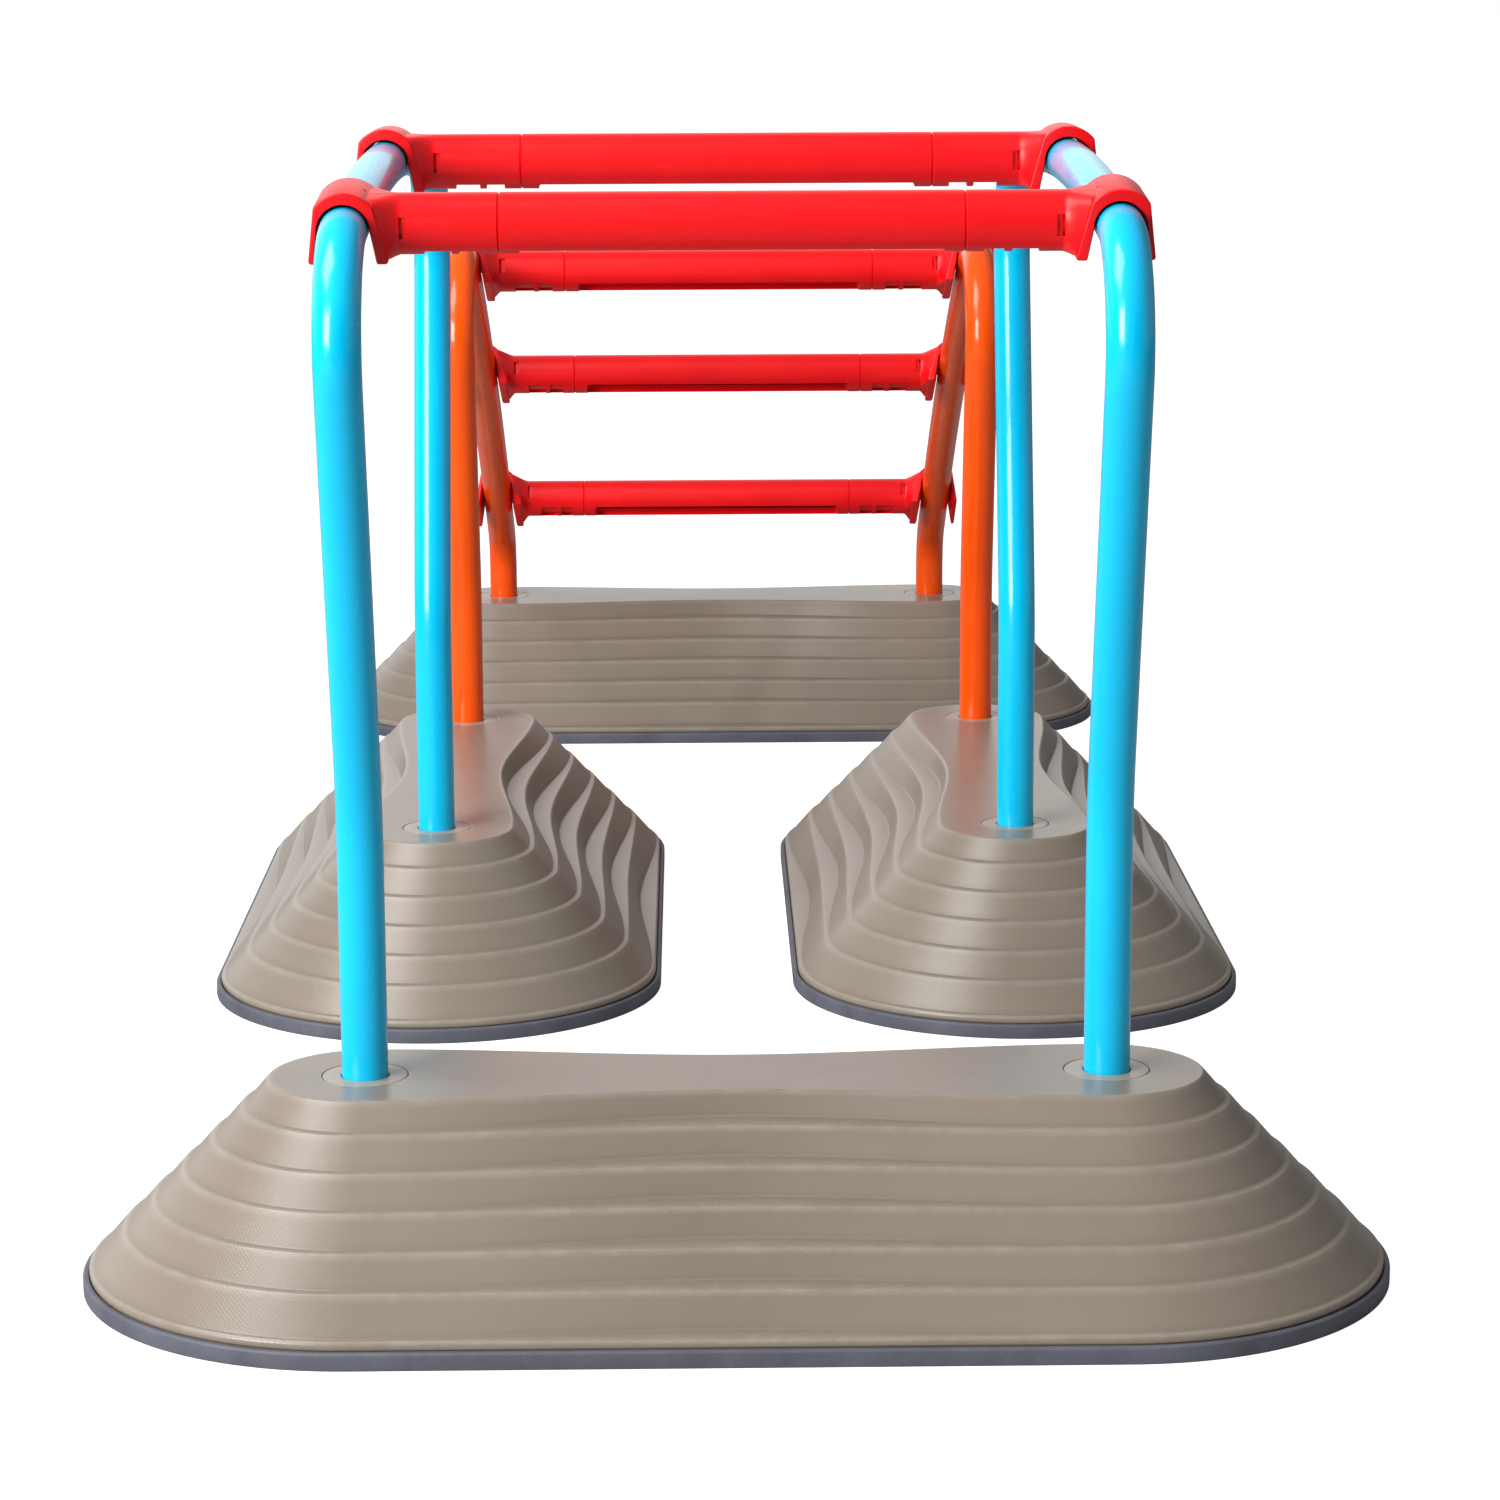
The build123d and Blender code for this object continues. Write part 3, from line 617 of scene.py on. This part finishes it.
tube_radius, tube_wall, tube_foot = 12.5, 2.0, 20.2
blue_coat = powder_coat("powder_coat_sky_blue", "#00C4F4", "#00BCEE")
orange_coat = powder_coat("powder_coat_orange", "#FF5A00", "#FC5000")
blue_half = [211.443, (200, 16.5), 208.767, (60, -99.688)]
blue_line = bent_line("blue_centre_line", tube_foot, blue_half + [(2800, -13.624)] + blue_half[::-1])
orange_line = bent_line("orange_centre_line", tube_foot, [
    175.685, (200, 13), 156.514, (65, -124.600), (3073, -11.4), 21.311, (50, -57.0), 114.730])
tube_tree = bent_tube()
for colour, line, coat, front_foot in (("blue", blue_line, blue_coat, -outer_foot),
                                       ("orange", orange_line, orange_coat, middle_foot)):
    shape = open_mesh(run_tree(tube_tree, line, tube_radius=tube_radius * MM, sides=56, finish=coat))
    bmesh.ops.recalc_face_normals(shape, faces=shape.faces)
    if sum(face.normal.x * face.calc_center_median().x for face in shape.faces) < 0:
        bmesh.ops.reverse_faces(shape, faces=shape.faces)
    # The bore is the outside drawn in by the wall, and a ring of faces closes each end.
    ends = open_edges(shape)
    inner = {v: shape.verts.new(v.co - v.normal * tube_wall * MM) for v in list(shape.verts)}
    for face in list(shape.faces):
        shape.faces.new([inner[v] for v in reversed(face.verts)])
    for edge in ends:
        a, b = edge.verts
        shape.faces.new((a, b, inner[b], inner[a]))
    tube_mesh = finish_mesh(shape, colour + "_tube", sharp=50)
    for label, side in (("left", -1), ("right", 1)):
        place = Matrix.Translation((side * socket_spacing / 2 * MM, front_foot * MM, 0))
        body = f"{colour}_tube_{label}"
        set_down(body + "_bent", tube_mesh, place, body, [body], coat)


def moulded_black_polyethylene():
    """The foot plugs: soft black plastic with a dull, slightly scraped skin."""
    material, tree, place = new_material("moulded_black_polyethylene")
    scrape = add(tree, "TexNoise", {"Vector": place, "Scale": 180.0, "Detail": 6.0, "Roughness": 0.7})
    body = add(tree, "ValToRGB", {"Fac": (scrape, "Fac")},
               stops=[(0.35, linear("#17181A")), (0.75, linear("#2E2F31"))])
    relief = add(tree, "Bump", {"Height": (scrape, "Fac"), "Strength": 0.3, "Distance": 0.1 * MM})
    shader = add(tree, "BsdfPrincipled", {
        "Base Color": (body, "Color"), "Roughness": 0.48, "Normal": (relief, "Normal"), "IOR": 1.51})
    return surfaced(material, shader)


black_plastic = moulded_black_polyethylene()
for colour in ("blue", "orange"):
    for label in ("left", "right"):
        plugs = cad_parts[f"{colour}_tube_{label}_foot_plugs"]
        plugs.data.materials.clear()
        plugs.data.materials.append(black_plastic)


# Rungs
# Each rung is a 32 mm red plastic grip between two tubes, moulded in three pieces: a hollow bar and
# two clamps. A bar's tenons snap into the clamps' collars, where its catches show in small windows,
# and a clamp's sprung saddle is pushed down over the tube.

def moulded_red_polypropylene():
    """Satin red plastic with a fine spark-eroded mould grain, a little darker in its hollows."""
    material, tree, place = new_material("moulded_red_polypropylene")
    cloud = add(tree, "TexNoise", {"Vector": place, "Scale": 22.0, "Detail": 5.0})
    body = add(tree, "ValToRGB", {"Fac": (cloud, "Fac")},
               stops=[(0.3, linear("#EE000A")), (0.7, linear("#F60410"))])
    # The real grain is about 0.4 mm; it is drawn at 1 mm so that it shows.
    grain = add(tree, "TexNoise", {"Vector": place, "Scale": 1 / (1.0 * MM), "Detail": 3.0, "Roughness": 0.7})
    fleck = add(tree, "ValToRGB", {"Fac": (grain, "Fac")},
                stops=[(0.35, linear("#E2E2E2")), (0.6, linear("#FFFFFF"))])
    flecked = add(tree, "Mix", {0: 0.6, 6: (body, "Color"), 7: (fleck, "Color")}, data_type="RGBA",
                  blend_type="MULTIPLY")
    gloss = add(tree, "MapRange", {"Value": (grain, "Fac"), "To Min": 0.3, "To Max": 0.46})
    relief = add(tree, "Bump", {"Height": (grain, "Fac"), "Strength": 0.25, "Distance": 0.07 * MM})
    shader = add(tree, "BsdfPrincipled", {
        "Base Color": (flecked, 2), "Roughness": (gloss, "Result"), "Normal": (relief, "Normal"), "IOR": 1.49,
        "Specular IOR Level": 0.4})
    return surfaced(material, shader)


touching = 0.0001 * MM    # vertices this near lie in the same place


def turned_along_x(rows, sides=112):
    """A closed body turned round the rung's axis from rows of (x, radius) in mm.

    Its ends are capped, unless its last row meets its first."""
    shape = bmesh.new()
    turns = [2 * pi * i / sides for i in range(sides)]
    rings = [[shape.verts.new((x * MM, radius * cos(turn) * MM, radius * sin(turn) * MM)) for turn in turns]
             for x, radius in rows]
    join_rings(shape, rings, capped=rows[0] != rows[-1])
    bmesh.ops.remove_doubles(shape, verts=shape.verts, dist=touching)
    return finish_mesh(shape, "turned")


def boxed(low, high, flare=0.0):
    """A box in mm. Its ends along Y may be flared, which leaves chamfered edges where it cuts."""
    shape = bmesh.new()
    rings = []
    for y, grow in ((low[1], flare), (low[1] + 2 * flare, -flare), (high[1] - 2 * flare, -flare),
                    (high[1], flare)):
        corners = ((low[0] - grow, low[2] - grow), (high[0] + grow, low[2] - grow),
                   (high[0] + grow, high[2] + grow), (low[0] - grow, high[2] + grow))
        rings.append([shape.verts.new((x * MM, y * MM, z * MM)) for x, z in corners])
    join_rings(shape, rings)
    bmesh.ops.remove_doubles(shape, verts=shape.verts, dist=touching)
    return finish_mesh(shape, "boxed")


def rounded_rim(half_width, rounding, steps=4):
    """The levels of pushed_out for a rim with a quarter round."""
    turns = [pi / 2 * i / steps for i in range(steps + 1)]
    return [(half_width - rounding + rounding * sin(turn), rounding * (1 - cos(turn))) for turn in turns]


def pushed_out(outline, levels):
    """An outline in the upright XZ plane, in mm, pushed out both ways along Y.

    A level is (distance along Y, inset from the outline), and the last one is the end."""
    following = outline[1:] + outline[:1]
    area = sum(here[0] * after[1] - after[0] * here[1] for here, after in zip(outline, following))
    turn = 1 if area > 0 else -1
    inward = []
    for before, here, after in zip(outline[-1:] + outline[:-1], outline, following):
        before, here, after = Vector(before), Vector(here), Vector(after)
        first, second = (here - before).normalized(), (after - here).normalized()
        normals = [Vector((-d.y, d.x)) * turn for d in (first, second)]
        both = (normals[0] + normals[1]).normalized()
        inward.append(both / max(both.dot(normals[0]), 0.5))
    shape = bmesh.new()
    rings = []
    for y, inset in [(-y, inset) for y, inset in levels[::-1]] + levels:
        rings.append([shape.verts.new(((p[0] + n.x * inset) * MM, y * MM, (p[1] + n.y * inset) * MM))
                      for p, n in zip(outline, inward)])
    join_rings(shape, rings)
    return finish_mesh(shape, "pushed_out")


def carve(mesh, steps):
    """Joins meshes to a body, or cuts them from it, one after another."""
    for operation, tool in steps:
        body = bpy.data.objects.new("body", mesh)
        other = bpy.data.objects.new("tool", tool)
        for item in (body, other):
            bpy.context.collection.objects.link(item)
        cut = body.modifiers.new("cut", "BOOLEAN")
        cut.operation, cut.solver, cut.object = operation, "EXACT", other
        mesh = bpy.data.meshes.new_from_object(body.evaluated_get(bpy.context.evaluated_depsgraph_get()))
        body.modifiers.clear()
        for item in (body, other):
            bpy.data.objects.remove(item)
    return mesh


def arc(centre_height, radius, start, end, steps):
    """Points on a circle above the tube's middle, between two angles in degrees."""
    turns = [radians(start + (end - start) * i / steps) for i in range(steps + 1)]
    return [(radius * cos(turn), centre_height + radius * sin(turn)) for turn in turns]


red = moulded_red_polypropylene()
rung_radius, rung_wall = 16.0, 3.0
seam_from_tube, seam_chamfer = 79.0, 0.8
window_from_tube, window_width, window_height = 30.0, 5.0, 12.0
channel_width, under_rung = 18.0, -20.0

# The saddle is an arched block; its top is part of a circle a little above the tube's middle.
saddle_half_length, saddle_rounding = 25.0, 1.0
crown_radius, crown_centre, crown_reach = 19.2, 0.8, 52
leg_reach, inner_leg_lean, outer_leg_lean = 17.0, 0.275, 0.118
crown = arc(crown_centre, crown_radius, 90 + crown_reach, 90 - crown_reach, 20)
shoulder, height_to_foot = crown[-1], crown[-1][1] + leg_reach
saddle_outline = rounded([crown[-2], shoulder, (shoulder[0] + inner_leg_lean * height_to_foot, -leg_reach),
                          (-shoulder[0] - outer_leg_lean * height_to_foot, -leg_reach), crown[0], crown[1]],
                         [4.0, 1.6, 1.6, 4.0], 4)
saddle = pushed_out(saddle_outline[:-1] + crown[1:-2], rounded_rim(saddle_half_length, saddle_rounding))

# The neck opens from the collar to the inner leg's edge in a hollow curve that leans as the leg does.
# It is round at the collar and a rounded square from two thirds of its length on.
neck_start, neck_length, neck_width, neck_height = 29.0, 15.0, saddle_half_length - 1.3, rung_radius - 0.1
neck_sides, neck_steps = 96, 18
shape = bmesh.new()
neck_rings = []
for i in range(neck_steps + 1):
    opened = min(1.0, 1.5 * i / neck_steps)
    swell = 1 - cos(opened * pi / 2)
    squareness = 2 / (2 + 4 * swell)
    wide = rung_radius + (neck_width - rung_radius) * swell
    ring = []
    for k in range(neck_sides):
        c, s = cos(2 * pi * k / neck_sides), sin(2 * pi * k / neck_sides)
        y = wide * abs(c) ** squareness * (1 if c > 0 else -1)
        z = neck_height * abs(s) ** squareness * (1 if s > 0 else -1)
        x = neck_start - neck_length * i / neck_steps - inner_leg_lean * z * opened
        ring.append(shape.verts.new((x * MM, y * MM, z * MM)))
    neck_rings.append(ring)
join_rings(shape, neck_rings)
neck = finish_mesh(shape, "neck")

# The collar runs into the saddle, and its bore takes the bar's tenon.
collar_start, bore_start, bore_radius = 10.0, 23.0, rung_radius - rung_wall
collar = turned_along_x([(collar_start, rung_radius), (seam_from_tube - seam_chamfer, rung_radius),
                         (seam_from_tube, rung_radius - seam_chamfer), (seam_from_tube, bore_radius),
                         (bore_start, bore_radius)])

# The way for the tube opens by a millimetre at both ends, which leaves a dark line over the tube.
throat, mouth, outer_mouth, mouth_spread, below_legs = 13.0, 16.4, 15.0, 3.0, -40.0
end_flare, flare_run = 1.1, 5.0
way_outline = arc(0, throat, 0, 180, 40)
way_outline += [(-outer_mouth, -leg_reach), (-outer_mouth - mouth_spread, below_legs),
                (mouth + mouth_spread, below_legs), (mouth, -leg_reach)]
tube_way = pushed_out(way_outline, [(saddle_half_length - flare_run, 0), (saddle_half_length, -end_flare),
                                    (saddle_half_length + flare_run, -2 * end_flare)])

# A window through both sides shows the catches, and two slots open the collar's underside.
window_reach, window_chamfer = 17.5, 0.35
windows = boxed((window_from_tube - window_width / 2, -window_reach, -window_height / 2),
                (window_from_tube + window_width / 2, window_reach, window_height / 2), window_chamfer)
slot_roof = -rung_radius + rung_wall + 2.6
slots = [boxed((start, -channel_width / 2, under_rung), (end, channel_width / 2, slot_roof))
         for start, end in ((40.0, 54.5), (58.0, 69.0))]

# A small round mark is sunk in the saddle's shoulder.
dot_lean, dot_height = 30, 20.6
shape = bmesh.new()
bmesh.ops.create_cone(shape, cap_ends=True, segments=32, radius1=1.3 * MM, radius2=1.7 * MM, depth=4 * MM,
                      matrix=Matrix.Rotation(radians(dot_lean), 4, "Y")
                      @ Matrix.Translation((0, 0, dot_height * MM)))
dot = finish_mesh(shape, "dot")

clamp_steps = [("UNION", neck), ("UNION", collar)]
clamp_steps += [("DIFFERENCE", tool) for tool in (tube_way, windows, *slots, dot)]
shape = open_mesh(carve(saddle, clamp_steps))
bmesh.ops.remove_doubles(shape, verts=shape.verts, dist=weld)
bmesh.ops.dissolve_degenerate(shape, edges=shape.edges, dist=weld)
clamp_mesh = finish_mesh(shape, "rung_clamp", sharp=32, recalculate=False)

# The bar is a tube with a channel along its underside and a tenon at each end.
bar_half = socket_spacing / 2 - seam_from_tube
tenon_radius, tenon_bore, tenon_reach = 12.8, 10.0, 55.0
right_rows = [(bar_half - seam_chamfer, rung_radius), (bar_half, rung_radius - seam_chamfer),
              (bar_half, tenon_radius), (bar_half + tenon_reach, tenon_radius),
              (bar_half + tenon_reach, tenon_bore)]
bar = turned_along_x([(-x, r) for x, r in right_rows[::-1]] + right_rows + [(-right_rows[-1][0], tenon_bore)])
channel_end, channel_lip, channel_roof, roof_slope = bar_half - 10.0, -15.2, -9.4, 3.0
channel = pushed_out([(-channel_end, under_rung), (channel_end, under_rung), (channel_end, channel_lip),
                      (channel_end - roof_slope, channel_roof), (-channel_end + roof_slope, channel_roof),
                      (-channel_end, channel_lip)], [(channel_width / 2, 0)])
bar_steps = [("DIFFERENCE", channel)]

# A catch on each side of a tenon stands in its window, with a gap towards the tube.
catch_root, catch_recess, catch_gap, catch_fit = 1.5, 2.2, 1.8, 0.3
for side in (-1, 1):
    at = side * (socket_spacing / 2 - window_from_tube)
    ends = sorted((at + side * (window_width / 2 - catch_gap), at - side * (window_width / 2 - catch_fit)))
    for face in (-1, 1):
        near, far = sorted((face * (tenon_radius - catch_root), face * (rung_radius - catch_recess)))
        bar_steps.append(("UNION", boxed((ends[0], near, -window_height / 2 + catch_fit),
                                         (ends[1], far, window_height / 2 - catch_fit))))
shape = open_mesh(carve(bar, bar_steps))
bmesh.ops.remove_doubles(shape, verts=shape.verts, dist=weld)
bar_mesh = finish_mesh(shape, "rung_bar", sharp=32, recalculate=False)

# Each rung from the front back: its distance from the middle of the set, height, and slope in degrees.
rung_places = [(-822.0, 568.119, 6.295), (-525.0, 584.982, 0.205), (270.0, 459.193, -22.063),
               (501.0, 354.266, -26.795), (747.0, 215.488, -32.063)]
for number, (along, height, slope) in enumerate(rung_places, start=1):
    rung = f"rung_{number}"
    place = Matrix.Translation((0, along * MM, height * MM)) @ Matrix.Rotation(radians(slope), 4, "X")
    set_down(rung + "_grip", bar_mesh, place, rung, [rung + "_bar"], red)
    for label, side, turn in (("left", -1, 0), ("right", 1, pi)):
        on_tube = place @ Matrix.Translation((side * socket_spacing / 2 * MM, 0, 0))
        on_tube = on_tube @ Matrix.Rotation(turn, 4, "Z")
        set_down(f"{rung}_saddle_{label}", clamp_mesh, on_tube, rung, [f"{rung}_clamp_{label}"], red)


# Floor, light and camera
# A plain white floor, a soft light and a narrow strip light in front on the left, another soft
# light overhead, and a camera that looks along the set from a little above.

def white_floor():
    """A white floor that the camera sees bright and that throws back little light."""
    material, tree, place = new_material("white_painted_floor")
    cloud = add(tree, "TexNoise", {"Vector": place, "Scale": 2.0, "Detail": 2.0})
    body = add(tree, "ValToRGB", {"Fac": (cloud, "Fac")},
               stops=[(0.3, linear("#A0A0A0")), (0.7, linear("#A4A4A4"))])
    paint = add(tree, "BsdfDiffuse", {"Color": (body, "Color")})
    seen = add(tree, "LightPath")
    lift = add(tree, "Math", {0: (seen, "Is Camera Ray"), 1: 0.95}, operation="MULTIPLY")
    glow = add(tree, "Emission", {"Strength": (lift, "Value")})
    both = add(tree, "AddShader", {0: (paint, "BSDF"), 1: (glow, "Emission")})
    return surfaced(material, both)


floor_half = 30.0
floor_mesh = bpy.data.meshes.new("floor")
floor_mesh.from_pydata([(-floor_half, -floor_half, 0), (floor_half, -floor_half, 0), (floor_half, floor_half, 0),
                        (-floor_half, floor_half, 0)], [], [(0, 1, 2, 3)])
floor_mesh.materials.append(white_floor())
floor = bpy.data.objects.new("floor", floor_mesh)
bpy.context.collection.objects.link(floor)

# The room is bright beyond the set, and dim behind the camera, overhead and on the right. Seen
# straight on it is white.
world = bpy.data.worlds.new("studio")
world.use_nodes = True
studio = world.node_tree
studio.nodes.clear()
direction = add(studio, "TexCoord")
split = add(studio, "SeparateXYZ", {"Vector": (direction, "Generated")})
depth = add(studio, "MapRange", {"Value": (split, "Y"), "From Max": 0.85, "To Min": 0.2, "To Max": 1.25})
side = add(studio, "MapRange",
           {"Value": (split, "X"), "From Min": 0.1, "From Max": 0.32, "To Min": 1.0, "To Max": 0.1})
far_right = add(studio, "MapRange", {"Value": (split, "X"), "From Min": 0.6, "From Max": 1.0, "To Max": 0.5})
room = add(studio, "Math", {0: (depth, "Result"), 1: (side, "Result"), 2: (far_right, "Result")},
           operation="MULTIPLY_ADD")
overhead = add(studio, "MapRange", {"Value": (split, "Z"), "From Min": 0.35, "From Max": 0.7})
lit = add(studio, "Mix", {0: (overhead, "Result"), 2: (room, "Value"), 3: 0.35})
seen = add(studio, "LightPath")
brightness = add(studio, "Mix", {0: (seen, "Is Camera Ray"), 2: (lit, 0), 3: 1.0})
sky = add(studio, "Background", {"Color": linear("#FFFFFF"), "Strength": (brightness, 0)})
add(studio, "OutputWorld", {"Surface": (sky, "Background")})
bpy.context.scene.world = world


def soft_light(name, position, target, width, height, power):
    """A lit panel, in metres and watts, that faces a target."""
    lamp = bpy.data.lights.new(name, "AREA")
    lamp.shape = "RECTANGLE"
    lamp.size, lamp.size_y, lamp.energy = width, height, power
    holder = bpy.data.objects.new(name, lamp)
    holder.location = position
    holder.rotation_euler = (Vector(target) - Vector(position)).to_track_quat("-Z", "Y").to_euler()
    bpy.context.collection.objects.link(holder)


soft_light("left_softbox", (-3.2, -3.8, 1.8), (0, -0.2, 0.3), 1.6, 1.8, 195)
soft_light("overhead_softbox", (-1.5, -1.0, 2.6), (0, -0.3, 0.1), 1.5, 1.5, 62)
soft_light("left_strip", (-1.7, -3.2, 1.5), (0, -0.4, 0.3), 0.12, 1.6, 22)

yaw, pitch, roll = -0.013644, 0.194316, -0.004306
camera_place = Vector((-0.02078, -2.94468, 0.70595))
sight = Vector((-sin(yaw) * cos(pitch), cos(yaw) * cos(pitch), -sin(pitch)))
level_right = Vector((cos(yaw), sin(yaw), 0))
level_up = level_right.cross(sight)
right = level_right * cos(roll) + level_up * sin(roll)
up = level_up * cos(roll) - level_right * sin(roll)
lens = bpy.data.cameras.new("camera")
lens.sensor_width = 36.0
lens.lens = 97.4
lens.clip_end = 100.0
camera = bpy.data.objects.new("camera", lens)
camera.matrix_world = Matrix.Translation(camera_place) @ Matrix((right, up, -sight)).transposed().to_4x4()
bpy.context.collection.objects.link(camera)
bpy.context.scene.camera = camera
bpy.context.scene.view_settings.view_transform = "Standard"
